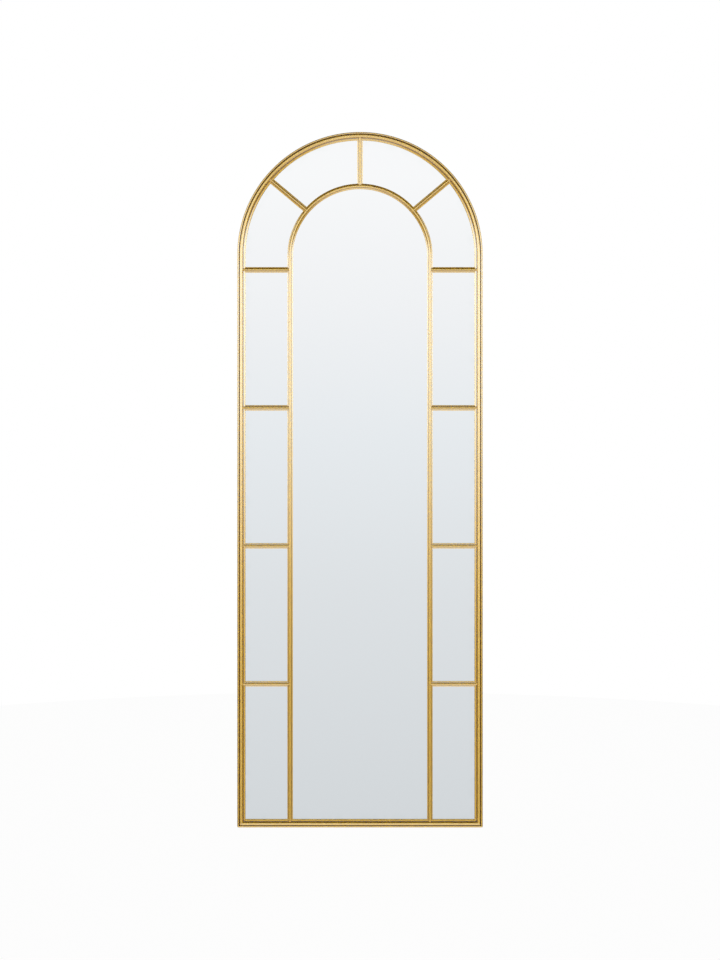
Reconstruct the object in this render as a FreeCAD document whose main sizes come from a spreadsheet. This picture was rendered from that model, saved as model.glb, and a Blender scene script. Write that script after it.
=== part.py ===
"""Arched wall mirror with a raised lattice of gold bars, in millimetres.

X points right as seen from the front, Y points into the wall and Z points up.
The origin lies on the wall, midway between the two hanging holes.
A moulded steel frame holds one mirror sheet and its backing board from behind.
The lattice bars lie just in front of the glass and are coped and welded to each other.
"""
import FreeCAD, Part
import os

import Sketcher
from FreeCAD import Placement, Rotation, Vector

SIZES = (
    ("overall_width", 600, "outside width of the frame"),
    ("overall_height", 1700, "bottom edge to the top of the arch"),
    ("frame_depth", 28, "wall to the crest of the frame moulding"),
    ("frame_face", 19.8, "width of the frame moulding seen from the front"),
    ("frame_wall", 1.8, "thickness of the frame's side wall"),
    ("frame_edge", 1.5, "thickness of the frame's inner edge"),
    ("frame_base", 3.2, "back of the moulding to the foot of its beads"),
    ("frame_bead", 4.6, "radius of the frame's main bead"),
    ("rim_bead", 2.5, "radius of the bead along the frame's outer rim"),
    ("bead_shell", 1.5, "metal left around the hollow behind the main bead"),
    ("corner_radius", 4.0, "ground round on the two bottom corners"),
    ("arch_bar_radius", 171, "bend radius of the inner arch bar's middle line"),
    ("arch_bar_drop", 3.0, "arch centre down to the centre of the inner arch bar's bend"),
    ("arch_bar_width", 13.4, "width of the inner arch bar"),
    ("arch_bar_edge", 1.2, "edge thickness of the inner arch bar"),
    ("arch_bar_base", 2.6, "back of the inner arch bar to the foot of its bead"),
    ("arch_bar_bead", 3.1, "bead radius of the inner arch bar"),
    ("crossbar_width", 13.4, "width of the short bars"),
    ("crossbar_edge", 1.0, "edge thickness of the short bars"),
    ("crossbar_base", 2.1, "back of a short bar to the foot of its bead"),
    ("crossbar_bead", 2.6, "bead radius of the short bars"),
    ("top_bar_drop", 36.5, "arch centre down to the first pair of crossbars"),
    ("fan_angle", 50, "slant of the outer fan bars from the upright, in degrees"),
    ("tape_thickness", 0.5, "soft tape between the frame and the glass"),
    ("tape_inset", 1.0, "soft tape to the bead's foot and to the inner edge"),
    ("glass_thickness", 4.0, "mirror glass"),
    ("pad_thickness", 1.0, "mounting tape between the glass and the board"),
    ("pad_width", 20, "width of one strip of mounting tape"),
    ("pad_margin", 75, "outer edge to the middle of the outermost strip"),
    ("pad_end", 100, "strip ends to the arch centre and to the bottom edge"),
    ("board_thickness", 4.0, "backing board"),
    ("edge_clearance", 1.0, "glass and board edges to the side wall"),
    ("tab_thickness", 1.5, "sheet of a retaining tab"),
    ("tab_width", 16, "retaining tab along the wall"),
    ("tab_length", 20, "reach of a retaining tab from the wall"),
    ("tab_root_gap", 0.2, "weld gap between a tab and the wall"),
    ("tab_top_drop", 200, "arch centre down to the first side tab"),
    ("tab_bottom_rise", 150, "bottom edge up to the last side tab"),
    ("tab_arch_angle", 60, "spacing of the tabs around the arch, in degrees"),
    ("tab_bottom_offset", 150, "middle to a tab on the bottom rail"),
    ("screw_inset", 13, "wall to the axis of a tab screw"),
    ("screw_shank", 1.5, "radius of a tab screw's shank"),
    ("screw_head", 3.6, "radius of a tab screw's head"),
    ("screw_head_height", 2.2, "height of a tab screw's head"),
    ("screw_grip", 3.0, "depth of a tab screw in the board"),
    ("screw_clearance", 0.2, "room around a tab screw's shank"),
    ("hanger_thickness", 2.0, "sheet of a hanger bracket"),
    ("hanger_drop", 10, "arch centre's level down to the top of a hanger bracket"),
    ("hanger_reach", 44, "hanger bracket from the side wall inwards"),
    ("hanger_height", 60, "hanger bracket up and down"),
    ("hanger_leg", 8.0, "depth of the hanger leg along the side wall"),
    ("hanger_corner", 3.0, "radius of the hanger's free corners"),
    ("keyhole_inset", 25, "side wall to the middle of a hanging hole"),
    ("keyhole_entry", 5.0, "radius of the hole that takes the screw head"),
    ("keyhole_slot", 2.4, "half width of the slot that takes the screw"),
    ("keyhole_rise", 11, "middle of the hole up to the seat of the screw"),
)
CROSSBAR_ROWS = 4
SIDE_TABS = 4
SIDES = (("right", 1), ("left", -1))

# Distances worked out from the sheet, as expressions
HALF = "Sizes.overall_width / 2"
LEG = "(Sizes.overall_height - Sizes.overall_width / 2)"
SPRING = "(Sizes.hanger_height / 2 + Sizes.hanger_drop)"
FLOOR = f"({SPRING} - {LEG})"
SEAT = "(Sizes.frame_depth - Sizes.frame_base - Sizes.frame_bead)"
BEAD_MIDDLE = "(2 * Sizes.rim_bead + Sizes.frame_bead)"
BEAD_FOOT = "(2 * Sizes.rim_bead + 2 * Sizes.frame_bead)"
HOLLOW = "(Sizes.frame_bead - Sizes.bead_shell)"
HOLLOW_TOP = f"({HOLLOW} * cos(45))"
COPE_DEPTH = f"({BEAD_FOOT} - Sizes.bead_shell / 2)"
GLASS_INSET = "(Sizes.frame_wall + Sizes.edge_clearance)"
GLASS_BACK = f"({SEAT} - Sizes.tape_thickness - Sizes.glass_thickness)"
BOARD_FRONT = f"({GLASS_BACK} - Sizes.pad_thickness)"
BOARD_BACK = f"({BOARD_FRONT} - Sizes.board_thickness)"
TAB_BACK = f"({BOARD_BACK} - Sizes.tab_thickness)"
WALL_FACE = f"({HALF} - Sizes.frame_wall)"
KEYHOLE_X = f"({WALL_FACE} - Sizes.keyhole_inset)"
ROW_PITCH = (
    f"(({LEG} - Sizes.frame_face - Sizes.top_bar_drop + Sizes.crossbar_width / 2) / {CROSSBAR_ROWS})"
)

doc = FreeCAD.newDocument("arched_wall_mirror")
sheet = doc.addObject("Spreadsheet::Sheet", "Sizes")


def fill_sheet():
    """Write every driving size to the sheet with its alias and its meaning."""
    for row, (alias, size, meaning) in enumerate(SIZES, 1):
        sheet.set(f"A{row}", meaning)
        sheet.set(f"B{row}", str(size))
        sheet.setAlias(f"B{row}", alias)
    doc.recompute()


def value(expression):
    """Return an expression's present value as a plain number."""
    result = sheet.evalExpression(expression)
    return float(getattr(result, "Value", result))


def point(place):
    """Return a sketch point for a pair of expressions."""
    return Vector(value(place[0]), value(place[1]), 0)


def new_body(name):
    return doc.addObject("PartDesign::Body", name)


def origin_plane(body, role):
    return next(plane for plane in body.Origin.OriginFeatures if plane.Role == role)


def new_sketch(body, name, role, offset=None):
    """Add a sketch on one of the body's origin planes, moved along its normal by offset."""
    sketch = body.newObject("Sketcher::SketchObject", name)
    sketch.AttachmentSupport = [(origin_plane(body, role), "")]
    sketch.MapMode = "FlatFace"
    if offset:
        sketch.setExpression("AttachmentOffset.Base.z", offset)
    return sketch


def pin(sketch, axis, edge, end, expression):
    """Fix one coordinate of a sketch point to an expression."""
    constraint = Sketcher.Constraint("Distance" + axis, -1, 1, edge, end, value(expression))
    index = sketch.addConstraint(constraint)
    sketch.setExpression(f"Constraints[{index}]", expression)


def draw_loop(sketch, corners, pinned_axis="Y"):
    """Draw a closed loop through corners, each an (x, y) pair of expressions.

    A corner may carry (centre, middle) of an arc that leads to the next corner. The arc's centre
    is pinned along pinned_axis only, because its two ends already fix the other coordinate.
    """
    ends = []
    for here, there in zip(corners, corners[1:] + corners[:1]):
        start, finish = point(here), point(there)
        if len(here) == 2:
            edge = sketch.addGeometry(Part.LineSegment(start, finish))
            ends.append((edge, 1, 2))
            continue
        centre, middle = here[2]
        edge = sketch.addGeometry(Part.Arc(start, point(middle), finish))
        first_gap = sketch.getPoint(edge, 1).distanceToPoint(start)
        second_gap = sketch.getPoint(edge, 2).distanceToPoint(start)
        ends.append((edge, 1, 2) if first_gap < second_gap else (edge, 2, 1))
        pin(sketch, pinned_axis, edge, 3, centre[0] if pinned_axis == "X" else centre[1])
    for (edge, _, last), (following, first, _) in zip(ends, ends[1:] + ends[:1]):
        sketch.addConstraint(Sketcher.Constraint("Coincident", edge, last, following, first))
    for (edge, first, _), corner in zip(ends, corners):
        pin(sketch, "X", edge, first, corner[0])
        pin(sketch, "Y", edge, first, corner[1])


def draw_circle(sketch, centre, radius):
    """Draw a circle whose centre and radius follow expressions."""
    circle = sketch.addGeometry(Part.Circle(point(centre), Vector(0, 0, 1), value(radius)))
    pin(sketch, "X", circle, 3, centre[0])
    pin(sketch, "Y", circle, 3, centre[1])
    index = sketch.addConstraint(Sketcher.Constraint("Radius", circle, value(radius)))
    sketch.setExpression(f"Constraints[{index}]", radius)


def pad(body, sketch, length, backwards=False, both_ways=False):
    """Extrude a sketch along its normal, against it, or half each way."""
    feature = body.newObject("PartDesign::Pad", sketch.Name + "_pad")
    feature.Profile = sketch
    feature.setExpression("Length", length)
    feature.Reversed = backwards
    feature.SideType = "Symmetric" if both_ways else "One side"
    return feature


def cut_through(body, sketch):
    """Cut a sketch through the whole body, both ways along its normal."""
    feature = body.newObject("PartDesign::Pocket", sketch.Name + "_cut")
    feature.Profile = sketch
    feature.Type = "ThroughAll"
    feature.SideType = "Symmetric"
    return feature


def frame_outline(place):
    """Return the frame moulding as loop corners.

    place turns an inset from the outer edge and a height off the wall into sketch coordinates.
    The front runs from the rim bead over the main bead and down a slope to the inner edge. The
    back has the side wall, the ledge that the glass rests against and the main bead's hollow.
    """
    foot = f"{SEAT} + Sizes.frame_base"
    rim_middle = place("Sizes.rim_bead", foot)
    rim_crest = place("Sizes.rim_bead", f"{foot} + Sizes.rim_bead")
    bead_middle = place(BEAD_MIDDLE, foot)
    bead_crest = place(BEAD_MIDDLE, f"{foot} + Sizes.frame_bead")
    hollow_top = f"{foot} + {HOLLOW_TOP}"
    return [
        place("0", "0"),
        place("0", foot) + ((rim_middle, rim_crest),),
        place("2 * Sizes.rim_bead", foot) + ((bead_middle, bead_crest),),
        place(BEAD_FOOT, foot),
        place("Sizes.frame_face", f"{SEAT} + Sizes.frame_edge"),
        place("Sizes.frame_face", SEAT),
        place(f"{BEAD_MIDDLE} + {HOLLOW}", SEAT),
        place(f"{BEAD_MIDDLE} + {HOLLOW_TOP}", hollow_top),
        place(f"{BEAD_MIDDLE} - {HOLLOW_TOP}", hollow_top),
        place(f"{BEAD_MIDDLE} - {HOLLOW}", SEAT),
        place("Sizes.frame_wall", SEAT),
        place("Sizes.frame_wall", "0"),
    ]


def bar_outline(kind, place):
    """Return a lattice bar's section as loop corners: thin edges, sloping sides and a round bead.

    place turns a distance across the bar and a height off the wall into sketch coordinates.
    """
    half_width = f"Sizes.{kind}_width / 2"
    bead = f"Sizes.{kind}_bead"
    edge = f"{SEAT} + Sizes.{kind}_edge"
    foot = f"{SEAT} + Sizes.{kind}_base"
    return [
        place(f"-{half_width}", SEAT),
        place(f"-{half_width}", edge),
        place(f"-{bead}", foot) + ((place("0", foot), place("0", f"{foot} + {bead}")),),
        place(bead, foot),
        place(half_width, edge),
        place(half_width, SEAT),
    ]


def arch_outline(inset):
    """Return the frame's outside outline, set in by inset, as loop corners."""
    reach = f"({HALF} - {inset})"
    floor = f"{FLOOR} + {inset}"
    return [
        (f"-{reach}", floor),
        (reach, floor),
        (reach, SPRING, (("0", SPRING), ("0", f"{SPRING} + {reach}"))),
        (f"-{reach}", SPRING),
    ]


def arch_and_legs(body, sketch, leg_length):
    """Carry a section around the arch and straight down both legs."""
    bend = body.newObject("PartDesign::Revolution", sketch.Name + "_bend")
    bend.Profile = sketch
    bend.ReferenceAxis = (sketch, ["V_Axis"])
    bend.Angle = 180
    bend.Reversed = True
    leg = pad(body, sketch, leg_length, backwards=True)
    other_leg = body.newObject("PartDesign::Mirrored", sketch.Name + "_other_leg")
    other_leg.Originals = [leg]
    other_leg.MirrorPlane = (origin_plane(body, "YZ_Plane"), [""])
    body.Tip = other_leg


def cut_corners(body, inner_x, inner_z):
    """Mitre a frame piece at both bottom corners and round those corners off.

    The part removed lies beyond the slanted corner line, on the side of the point
    (inner_x, inner_z), which is given for the right-hand corner.
    """
    mitres = new_sketch(body, body.Name + "_mitres", "XZ_Plane")
    rounds = new_sketch(body, body.Name + "_rounds", "XZ_Plane")
    radius = "Sizes.corner_radius"
    for _, side in SIDES:
        draw_loop(mitres, [
            (f"{side} * ({HALF} + Sizes.frame_face)", f"{FLOOR} - Sizes.frame_face"),
            (f"{side} * ({HALF} - 2 * Sizes.frame_face)", f"{FLOOR} + 2 * Sizes.frame_face"),
            (f"{side} * ({inner_x})", inner_z),
        ])
        centre = (f"{side} * ({HALF} - {radius})", f"{FLOOR} + {radius}")
        waist = f"{radius} * (1 - cos(45))"
        middle = (f"{side} * ({HALF} - {waist})", f"{FLOOR} + {waist}")
        draw_loop(rounds, [
            (f"{side} * ({HALF} - {radius})", FLOOR, (centre, middle)),
            (f"{side} * {HALF}", f"{FLOOR} + {radius}"),
            (f"{side} * ({HALF} + {radius})", f"{FLOOR} + {radius}"),
            (f"{side} * ({HALF} + {radius})", f"{FLOOR} - {radius}"),
            (f"{side} * ({HALF} - {radius})", f"{FLOOR} - {radius}"),
        ])
    cut_through(body, mitres)
    cut_through(body, rounds)


def make_arch_rail():
    """Bend the frame moulding over the arch and down both sides, mitred at the bottom."""
    body = new_body("outer_arch_rail")
    section = new_sketch(body, "arch_rail_section", "XY_Plane", SPRING)
    draw_loop(section, frame_outline(lambda inset, height: (f"{HALF} - ({inset})", f"-({height})")))
    arch_and_legs(body, section, LEG)
    cut_corners(body, f"{HALF} - 2 * Sizes.frame_face", f"{FLOOR} - Sizes.frame_face")
    return body


def make_bottom_rail():
    """Run the same moulding straight across the bottom, mitred at both ends."""
    body = new_body("bottom_rail")
    section = new_sketch(body, "bottom_rail_section", "YZ_Plane")
    corners = frame_outline(lambda inset, height: (f"-({height})", f"{FLOOR} + ({inset})"))
    draw_loop(section, corners, pinned_axis="X")
    pad(body, section, "Sizes.overall_width", both_ways=True)
    cut_corners(body, f"{HALF} + Sizes.frame_face", f"{FLOOR} + 2 * Sizes.frame_face")
    return body


def coped(name, blank, mates):
    """Cut a bar's blank to the faces of the pieces that it is welded to."""
    piece = blank
    for step, mate in enumerate(mates, 1):
        cut = doc.addObject("Part::Cut", name if mate is mates[-1] else f"{name}_cope_{step}")
        cut.Base = piece
        cut.Tool = mate
        piece = cut
    return piece


def make_arch_bar(bottom_rail):
    """Bend the inner arch bar, with both legs coped onto the bottom rail."""
    blank = new_body("inner_arch_bar_blank")
    section = new_sketch(blank, "arch_bar_section", "XY_Plane", f"{SPRING} - Sizes.arch_bar_drop")
    draw_loop(section, bar_outline(
        "arch_bar", lambda across, height: (f"Sizes.arch_bar_radius + ({across})", f"-({height})")))
    arch_and_legs(blank, section, f"{LEG} - Sizes.arch_bar_drop - {COPE_DEPTH}")
    return coped("inner_arch_bar", blank, [bottom_rail])


def make_crossbars(arch_bar, arch_rail):
    """Make the level bars between the inner arch and the frame, numbered from the top."""
    pieces = []
    for row in range(1, CROSSBAR_ROWS + 1):
        blank = new_body(f"crossbar_{row}_blank")
        section = new_sketch(blank, f"crossbar_{row}_section", "YZ_Plane", "Sizes.arch_bar_radius")
        draw_loop(section, bar_outline(
            "crossbar", lambda across, height: (f"-({height})", across)), pinned_axis="X")
        pad(blank, section, f"{HALF} - {COPE_DEPTH} - Sizes.arch_bar_radius")
        blank.setExpression("Placement.Base.z", f"{SPRING} - Sizes.top_bar_drop - {row - 1} * {ROW_PITCH}")
        right = coped(f"crossbar_right_{row}", blank, [arch_bar, arch_rail])
        pieces += [right, mirrored(f"crossbar_left_{row}", right)]
    return pieces


def make_fan_bars(arch_bar, arch_rail):
    """Make the three bars that fan out over the arch, each pointing at its centre."""
    pieces = []
    root = "(Sizes.arch_bar_radius - Sizes.arch_bar_drop)"
    for name, lean in (("left", -1), ("centre", 0), ("right", 1)):
        blank = new_body(f"fan_bar_{name}_blank")
        section = new_sketch(blank, f"fan_bar_{name}_section", "XY_Plane", root)
        draw_loop(section, bar_outline("crossbar", lambda across, height: (across, f"-({height})")))
        pad(blank, section, f"{HALF} - {COPE_DEPTH} - {root}")
        blank.setExpression("Placement.Base.z", SPRING)
        if lean:
            turn = Rotation(Vector(0, 1, 0), lean * value("Sizes.fan_angle"))
            blank.Placement = Placement(Vector(), turn)
            blank.setExpression("Placement.Rotation.Angle", f"{lean} * Sizes.fan_angle")
        pieces.append(coped(f"fan_bar_{name}", blank, [arch_bar, arch_rail]))
    return pieces


def mirrored(name, source):
    """Return the same piece for the other side of the middle plane."""
    twin = doc.addObject("Part::Mirroring", name)
    twin.Source = source
    twin.Normal = Vector(1, 0, 0)
    return twin


def make_sheet(name, insets, back, thickness):
    """Make an arched sheet, or a strip along its edge when two insets are given."""
    body = new_body(name)
    outline = new_sketch(body, name + "_outline", "XZ_Plane", back)
    for inset in insets:
        draw_loop(outline, arch_outline(inset))
    pad(body, outline, thickness)
    return body


def make_mounting_tape():
    """Lay four upright strips of mounting tape between the glass and the board."""
    strips = []
    for place in ("-1", "-1 / 3", "1 / 3", "1"):
        middle = f"({place}) * ({HALF} - Sizes.pad_margin)"
        strip = doc.addObject("Part::Box", "mounting_strip")
        strip.setExpression("Length", "Sizes.pad_width")
        strip.setExpression("Width", "Sizes.pad_thickness")
        strip.setExpression("Height", f"{LEG} - 2 * Sizes.pad_end")
        strip.setExpression("Placement.Base.x", f"{middle} - Sizes.pad_width / 2")
        strip.setExpression("Placement.Base.y", f"-{GLASS_BACK}")
        strip.setExpression("Placement.Base.z", f"{FLOOR} + Sizes.pad_end")
        strips.append(strip)
    return grouped("mounting_tape", strips)


def grouped(name, members):
    """Keep like pieces together as one named group of separate solids."""
    group = doc.addObject("Part::Compound", name)
    group.Links = members
    return group


def arch_site(step, inset):
    """Return a site on the arch, so many tab spacings round from its crown."""
    reach = f"({WALL_FACE} - {inset})"
    angle = f"(90 + {step} * Sizes.tab_arch_angle)"
    return f"{reach} * cos({angle})", f"{SPRING} + {reach} * sin({angle})", f"-{angle}"


def folded_sites(inset):
    """Return the plain tabs' places, inset from the side wall, and their turns about Y."""
    reach = f"({WALL_FACE} - {inset})"
    span = f"({LEG} - Sizes.tab_top_drop - Sizes.tab_bottom_rise)"
    sites = [arch_site(-1, inset), arch_site(1, inset)]
    for row in range(SIDE_TABS):
        level = f"{SPRING} - Sizes.tab_top_drop - {row} * {span} / {SIDE_TABS - 1}"
        sites.append((reach, level, "0"))
        sites.append((f"-{reach}", level, "180"))
    return sites


def screwed_sites(inset):
    """Return the same for the tabs with a screw, at the arch's crown and on the bottom rail."""
    rise = f"{FLOOR} + Sizes.frame_wall + {inset}"
    return [
        arch_site(0, inset),
        ("Sizes.tab_bottom_offset", rise, "90"),
        ("-Sizes.tab_bottom_offset", rise, "90"),
    ]


def make_backing_board():
    """Make the backing board with a blind hole for each tab screw."""
    board = make_sheet("backing_board", [GLASS_INSET], BOARD_BACK, "Sizes.board_thickness")
    holes = new_sketch(board, "board_holes", "XZ_Plane", BOARD_BACK)
    for x, z, _ in screwed_sites("Sizes.screw_inset"):
        draw_circle(holes, (x, z), "Sizes.screw_shank + Sizes.screw_clearance")
    drilled = board.newObject("PartDesign::Pocket", "board_holes_cut")
    drilled.Profile = holes
    drilled.setExpression("Length", "Sizes.screw_grip + Sizes.screw_clearance")
    drilled.Reversed = True
    return board


def make_tab(name, drilled):
    """Make one retaining tab, reaching from a side wall at X = 0 towards -X."""
    body = new_body(name)
    outline = new_sketch(body, name + "_outline", "XZ_Plane", TAB_BACK)
    draw_loop(outline, [
        ("-Sizes.tab_length", "-Sizes.tab_width / 2"),
        ("-Sizes.tab_root_gap", "-Sizes.tab_width / 2"),
        ("-Sizes.tab_root_gap", "Sizes.tab_width / 2"),
        ("-Sizes.tab_length", "Sizes.tab_width / 2"),
    ])
    if drilled:
        draw_circle(outline, ("-Sizes.screw_inset", "0"), "Sizes.screw_shank + Sizes.screw_clearance")
    pad(body, outline, "Sizes.tab_thickness")
    return body


def make_tabs():
    """Place every retaining tab, plain or drilled, as one group."""
    folded = copies(make_tab("folded_tab", False), folded_sites("0"))
    screwed = copies(make_tab("screwed_tab", True), screwed_sites("0"))
    return grouped("retaining_tabs", folded + screwed)


def make_tab_screw():
    """Turn one blunt-ended tab screw, in the same place as the tab that it holds."""
    body = new_body("tab_screw")
    section = new_sketch(body, "tab_screw_section", "XY_Plane")
    section.setExpression("AttachmentOffset.Base.x", "-Sizes.screw_inset")
    tip = f"{BOARD_BACK} + Sizes.screw_grip"
    draw_loop(section, [
        ("0", f"-({TAB_BACK} - Sizes.screw_head_height)"),
        ("Sizes.screw_head", f"-({TAB_BACK} - Sizes.screw_head_height)"),
        ("Sizes.screw_head", f"-{TAB_BACK}"),
        ("Sizes.screw_shank", f"-{TAB_BACK}"),
        ("Sizes.screw_shank", f"-({tip})"),
        ("0", f"-({tip})"),
    ])
    turned = body.newObject("PartDesign::Revolution", "tab_screw_turned")
    turned.Profile = section
    turned.ReferenceAxis = (section, ["V_Axis"])
    turned.Angle = 360
    return body


def copies(piece, sites):
    """Place a copy of a piece at each site, turned about Y."""
    placed = []
    for x, z, angle in sites:
        copy = doc.addObject("App::Link", piece.Name + "_copy")
        copy.LinkedObject = piece
        # A turn of zero would lose the Y axis, so a full turn stands in until the expression sets the angle
        copy.Placement = Placement(Vector(), Rotation(Vector(0, 1, 0), value(angle) or 360))
        copy.setExpression("Placement.Base.x", x)
        copy.setExpression("Placement.Base.z", z)
        copy.setExpression("Placement.Rotation.Angle", angle)
        placed.append(copy)
    return placed


def make_hanger():
    """Fold the right-hand hanger bracket, with a keyhole whose slot runs upwards."""
    body = new_body("hanger_bracket_right")
    section = new_sketch(body, "hanger_section", "XY_Plane")
    draw_loop(section, [
        (f"{WALL_FACE} - Sizes.hanger_reach", "0"),
        (WALL_FACE, "0"),
        (WALL_FACE, "-Sizes.hanger_leg"),
        (f"{WALL_FACE} - Sizes.hanger_thickness", "-Sizes.hanger_leg"),
        (f"{WALL_FACE} - Sizes.hanger_thickness", "-Sizes.hanger_thickness"),
        (f"{WALL_FACE} - Sizes.hanger_reach", "-Sizes.hanger_thickness"),
    ])
    pad(body, section, "Sizes.hanger_height", both_ways=True)
    keyhole = new_sketch(body, "hanger_entry", "XZ_Plane")
    draw_circle(keyhole, (KEYHOLE_X, "0"), "Sizes.keyhole_entry")
    cut_through(body, keyhole)
    slot = new_sketch(body, "hanger_slot", "XZ_Plane")
    right = f"{KEYHOLE_X} + Sizes.keyhole_slot"
    left = f"{KEYHOLE_X} - Sizes.keyhole_slot"
    seat = (KEYHOLE_X, "Sizes.keyhole_rise")
    draw_loop(slot, [
        (left, "0"),
        (right, "0"),
        (right, seat[1], (seat, (KEYHOLE_X, "Sizes.keyhole_rise + Sizes.keyhole_slot"))),
        (left, seat[1]),
    ])
    cut_through(body, slot)
    round_hanger(body)
    return body


def round_hanger(body):
    """Round the two free corners of a hanger bracket."""
    corners = new_sketch(body, "hanger_corners", "XZ_Plane")
    radius = "Sizes.hanger_corner"
    edge = f"{WALL_FACE} - Sizes.hanger_reach"
    end = "Sizes.hanger_height / 2"
    waist = f"{radius} * (1 - cos(45))"
    for side in (1, -1):
        centre = (f"{edge} + {radius}", f"{side} * ({end} - {radius})")
        middle = (f"{edge} + {waist}", f"{side} * ({end} - {waist})")
        draw_loop(corners, [
            (edge, f"{side} * ({end} - {radius})", (centre, middle)),
            (f"{edge} + {radius}", f"{side} * {end}"),
            (f"{edge} + {radius}", f"{side} * ({end} + {radius})"),
            (f"{edge} - {radius}", f"{side} * ({end} + {radius})"),
            (f"{edge} - {radius}", f"{side} * ({end} - {radius})"),
        ])
    cut_through(body, corners)


def build():
    """Make every piece of the mirror and return the pieces in order."""
    arch_rail = make_arch_rail()
    bottom_rail = make_bottom_rail()
    arch_bar = make_arch_bar(bottom_rail)
    hanger = make_hanger()
    tape_insets = [f"({BEAD_FOOT} + Sizes.tape_inset)", "(Sizes.frame_face - Sizes.tape_inset)"]
    tape_back = f"{SEAT} - Sizes.tape_thickness"
    return [
        arch_rail,
        bottom_rail,
        arch_bar,
        *make_crossbars(arch_bar, arch_rail),
        *make_fan_bars(arch_bar, arch_rail),
        make_sheet("glazing_tape", tape_insets, tape_back, "Sizes.tape_thickness"),
        make_sheet("mirror_glass", [GLASS_INSET], GLASS_BACK, "Sizes.glass_thickness"),
        make_mounting_tape(),
        make_backing_board(),
        make_tabs(),
        grouped("tab_screws", copies(make_tab_screw(), screwed_sites("0"))),
        hanger,
        mirrored("hanger_bracket_left", hanger),
    ]


def check(pieces):
    """Stop if any object failed to build or any piece has no sound shape."""
    for item in doc.Objects:
        if {"Invalid", "Error"} & set(item.State):
            raise RuntimeError(f"{item.Label} failed: {item.State}")
    for piece in pieces:
        if piece.Shape.isNull() or not piece.Shape.isValid():
            raise RuntimeError(f"{piece.Label} has no sound shape")


def export(pieces):
    """Write each piece to its own file."""
    os.makedirs("parts", exist_ok=True)
    for piece in pieces:
        solids = piece.Shape.Solids
        volume = sum(solid.Volume for solid in solids)
        piece.Shape.exportStep(f"parts/{piece.Label}.step")
        print(f"{piece.Label}: {len(solids)} solids, {volume:.0f} cubic mm")


fill_sheet()
all_pieces = build()
doc.recompute()
check(all_pieces)
export(all_pieces)
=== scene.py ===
"""Gold mouldings, finishes and a plain studio for an arched wall mirror.

Units are metres in the part's own frame: X right from the front, Y into the wall, Z up.
Each moulding repeats the section of the solid that it stands for, with eased edges.
"""

import bpy
import numpy as np
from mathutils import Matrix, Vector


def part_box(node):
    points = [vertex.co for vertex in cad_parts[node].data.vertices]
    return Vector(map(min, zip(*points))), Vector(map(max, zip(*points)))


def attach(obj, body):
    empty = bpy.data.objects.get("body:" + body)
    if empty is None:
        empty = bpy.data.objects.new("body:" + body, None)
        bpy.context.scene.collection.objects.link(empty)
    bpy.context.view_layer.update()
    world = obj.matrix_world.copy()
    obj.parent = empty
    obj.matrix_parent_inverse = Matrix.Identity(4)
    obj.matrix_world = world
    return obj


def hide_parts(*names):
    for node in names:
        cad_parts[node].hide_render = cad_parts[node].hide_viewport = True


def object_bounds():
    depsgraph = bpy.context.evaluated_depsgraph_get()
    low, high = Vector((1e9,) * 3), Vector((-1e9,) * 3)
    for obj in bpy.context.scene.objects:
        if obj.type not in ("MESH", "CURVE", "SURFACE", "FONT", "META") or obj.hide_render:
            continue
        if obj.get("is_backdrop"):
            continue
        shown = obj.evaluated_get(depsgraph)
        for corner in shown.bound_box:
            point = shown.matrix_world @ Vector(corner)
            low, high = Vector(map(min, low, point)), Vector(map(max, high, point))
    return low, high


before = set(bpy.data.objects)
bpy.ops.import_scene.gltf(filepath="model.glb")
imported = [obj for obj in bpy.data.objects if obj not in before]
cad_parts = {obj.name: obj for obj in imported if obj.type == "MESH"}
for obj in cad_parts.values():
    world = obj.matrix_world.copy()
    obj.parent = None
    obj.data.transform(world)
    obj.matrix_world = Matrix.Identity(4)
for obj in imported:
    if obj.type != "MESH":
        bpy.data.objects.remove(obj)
CAD_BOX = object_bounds()

bl_info = {
    "name": "Arched wall mirror",
    "version": (1, 0, 0),
    "blender": (4, 5, 0),
    "location": "View3D > Sidebar > Mirror",
    "description": "Gold mouldings, finishes and a plain studio for an arched wall mirror",
    "category": "Object",
}

# Places read from the frame
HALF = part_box("outer_arch_rail")[1].x
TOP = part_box("outer_arch_rail")[1].z
SPRING = TOP - HALF
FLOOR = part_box("bottom_rail")[0].z
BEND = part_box("inner_arch_bar")[1].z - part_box("inner_arch_bar")[1].x
SEAT = -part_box("inner_arch_bar")[1].y
BOARD_BACK = -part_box("backing_board")[1].y
TAB_BACK = -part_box("retaining_tabs")[1].y
CROSSBARS = sorted(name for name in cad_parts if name.startswith("crossbar_"))
FAN_BARS = sorted(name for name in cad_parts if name.startswith("fan_bar_"))
BRACKETS = sorted(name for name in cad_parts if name.startswith("hanger_bracket_"))

# Fineness of the meshes, with close steps over a share of the length at each end
LOOP_POINTS = 220
BAR_POINTS = 132
LEG_STEPS = 24
ARCH_STEPS = 160
BAR_STEPS = 20
END_STEPS = 7
END_SHARE = 0.007
ARC_STEPS = 40
FILLET_STEPS = 12
WELD_STEPS = 48
WELD_SIDES = 14
SCREW_TURN = 64
SCREW_DOME = 24
FLOOR_SIDES = 96

# Waves along a weld and the height of each as a share of its radius
WELD_WAVES = (3, 7, 13)
WELD_RIPPLE = 0.07

# Least base and power of the swell that thins a weld's ends
WELD_TIP = 0.02
WELD_SWELL = 0.25

# Noises, as scale and detail
METAL_CLOUDS = (22, 4)
METAL_GRAIN = (900, 3)
EDGE_SPOTS = (45, 4)
BROAD_PATCHES = (6, 3)

# Ranges of the relief over which a feature of the metal grows from none to full: darker amber and brown
# patina with painted shade towards the grooves, paler rubbed gold with painted highlight on the crests
FLANK_RELIEF = (-0.12, -0.28)
GROOVE_RELIEF = (-0.13, -0.34)
CREST_RELIEF = (0.02, 0.30)

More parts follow.
